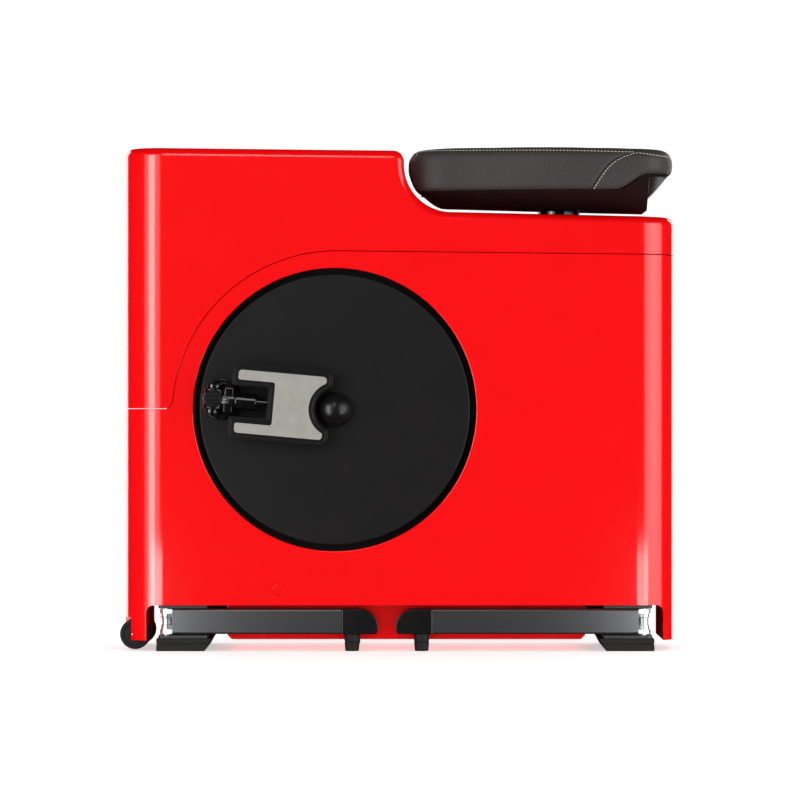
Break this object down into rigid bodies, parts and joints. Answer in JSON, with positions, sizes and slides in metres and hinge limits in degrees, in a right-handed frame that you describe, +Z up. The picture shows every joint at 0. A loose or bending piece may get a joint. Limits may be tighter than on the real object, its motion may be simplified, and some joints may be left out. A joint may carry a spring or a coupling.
{
  "type": "folding exercise bike",
  "caption": "Folding exercise bike with a slab-shaped red body, padded saddle, crank discs with fold-flat pedals and swing-out stabiliser arms.",
  "frame": {"origin": "on the floor under the middle of the machine, as folded", "axes": "+X towards the saddle end, +Y to the rider's right, +Z up"},
  "size_m": [0.784, 0.265, 0.71],
  "materials": {
    "red": "gloss moulded",
    "black": "satin moulded",
    "gloss_black": "gloss enamel",
    "grey_tread": "moulded matte",
    "leather": "fine grain, semi-matte",
    "graphite": "metallic enamel",
    "rubber": "matte",
    "steel": "bright",
    "iron": "machined",
    "frame": "satin powder coat"
  },
  "bodies": {
    "machine_body": {"main_frame": "frame", "upper_casing": "red", "lower_casing_left": "red", "lower_casing_right": "red", "base_tub": "red", "crank_well_left": "black", "crank_well_right": "black", "crank_bearing_left": "steel", "crank_bearing_right": "steel", "hinge_bracket_front": "frame", "hinge_bracket_rear": "frame", "hinge_pin_front_left": "steel", "hinge_pin_front_right": "steel", "hinge_pin_rear_left": "steel", "hinge_pin_rear_right": "steel", "foot_pad_front": "rubber", "foot_pad_rear": "rubber", "wheel_axle": "steel", "screw_cap_left": "red", "screw_cap_right": "red", "seat_guide": "black", "flywheel_axle": "steel", "brake_motor": "black", "front_grip_cup": "grey_tread", "drive_belt": "rubber"},
    "crank": {"crank_axle": "steel", "drive_pulley": "black", "crank_arm_left": "gloss_black", "crank_arm_right": "gloss_black", "crank_disc_left": "black", "crank_disc_right": "black", "hub_ball_left": "black", "hub_ball_right": "black"},
    "flywheel_unit": {"flywheel": "iron"},
    "brake": {"brake_yoke": "frame"},
    "saddle": {"seat_cushion": "leather", "seat_pan": "black", "seat_post": "gloss_black"},
    "pedal_left": {"pedal_spindle_left": "gloss_black"},
    "platform_left": {"pedal_frame_left": "black", "pedal_tread_left": "grey_tread"},
    "release_left": {"release_cap_left": "black"},
    "wheel_left": {"transport_wheel_left": "rubber"},
    "arm_front_left_unit": {"arm_front_left": "graphite", "arm_cap_front_left": "black", "arm_foot_front_left": "rubber"},
    "arm_rear_left_unit": {"arm_rear_left": "graphite", "arm_cap_rear_left": "black", "arm_foot_rear_left": "rubber"},
    "pedal_right": {"pedal_spindle_right": "gloss_black"},
    "platform_right": {"pedal_frame_right": "black", "pedal_tread_right": "grey_tread"},
    "release_right": {"release_cap_right": "black"},
    "wheel_right": {"transport_wheel_right": "rubber"},
    "arm_front_right_unit": {"arm_front_right": "graphite", "arm_cap_front_right": "black", "arm_foot_front_right": "rubber"},
    "arm_rear_right_unit": {"arm_rear_right": "graphite", "arm_cap_rear_right": "black", "arm_foot_rear_right": "rubber"}
  },
  "joints": [
    {"name": "flywheel_spin", "type": "hinge", "parent": "machine_body", "child": "flywheel_unit", "pos_m": [0.0888, 0, 0.23], "axis": [0, 1, 0], "continuous": true},
    {"name": "crank_spin", "type": "hinge", "parent": "machine_body", "child": "crank", "pos_m": [-0.0882, 0, 0.34], "axis": [0, 1, 0], "continuous": true},
    {"name": "brake_tilt", "type": "hinge", "parent": "machine_body", "child": "brake", "pos_m": [0.18708, 0, 0.26971], "axis": [0, 1, 0], "range_deg": [0, 5]},
    {"name": "seat_height", "type": "slide", "parent": "machine_body", "child": "saddle", "axis": [0, 0, 1], "range_m": [0, 0.24]},
    {"name": "pedal_fold_left", "type": "hinge", "parent": "crank", "child": "pedal_left", "pos_m": [-0.25852, -0.117, 0.3552], "axis": [-0.0889, 0, -0.996], "range_deg": [0, 90]},
    {"name": "pedal_turn_left", "type": "hinge", "parent": "pedal_left", "child": "platform_left", "pos_m": [-0.25852, -0.117, 0.3552], "axis": [-0.996, 0, 0.0889], "range_deg": [-8, 8]},
    {"name": "pedal_release_left", "type": "slide", "parent": "pedal_left", "child": "release_left", "axis": [0, 1, 0], "range_m": [0, 0.002], "stiffness_N_per_m": 600},
    {"name": "wheel_spin_left", "type": "hinge", "parent": "machine_body", "child": "wheel_left", "pos_m": [-0.3705, -0.062, 0.023], "axis": [0, 1, 0], "continuous": true},
    {"name": "arm_swing_front_left", "type": "hinge", "parent": "machine_body", "child": "arm_front_left_unit", "pos_m": [-0.3255, -0.082, 0.0417], "axis": [0, 0, -1], "range_deg": [0, 90]},
    {"name": "arm_swing_rear_left", "type": "hinge", "parent": "machine_body", "child": "arm_rear_left_unit", "pos_m": [0.3475, -0.082, 0.0417], "axis": [0, 0, 1], "range_deg": [0, 90]},
    {"name": "pedal_fold_right", "type": "hinge", "parent": "crank", "child": "pedal_right", "pos_m": [0.08212, 0.117, 0.3248], "axis": [-0.0889, 0, -0.996], "range_deg": [0, 90]},
    {"name": "pedal_turn_right", "type": "hinge", "parent": "pedal_right", "child": "platform_right", "pos_m": [0.08212, 0.117, 0.3248], "axis": [0.996, 0, -0.0889], "range_deg": [-8, 8]},
    {"name": "pedal_release_right", "type": "slide", "parent": "pedal_right", "child": "release_right", "axis": [0, -1, 0], "range_m": [0, 0.002], "stiffness_N_per_m": 600},
    {"name": "wheel_spin_right", "type": "hinge", "parent": "machine_body", "child": "wheel_right", "pos_m": [-0.3705, 0.062, 0.023], "axis": [0, 1, 0], "continuous": true},
    {"name": "arm_swing_front_right", "type": "hinge", "parent": "machine_body", "child": "arm_front_right_unit", "pos_m": [-0.3255, 0.082, 0.0417], "axis": [0, 0, 1], "range_deg": [0, 90]},
    {"name": "arm_swing_rear_right", "type": "hinge", "parent": "machine_body", "child": "arm_rear_right_unit", "pos_m": [0.3475, 0.082, 0.0417], "axis": [0, 0, -1], "range_deg": [0, 90]}
  ],
  "couplings": [
    {"joint": "crank_spin", "follows": "flywheel_spin", "ratio": 0.2}
  ]
}
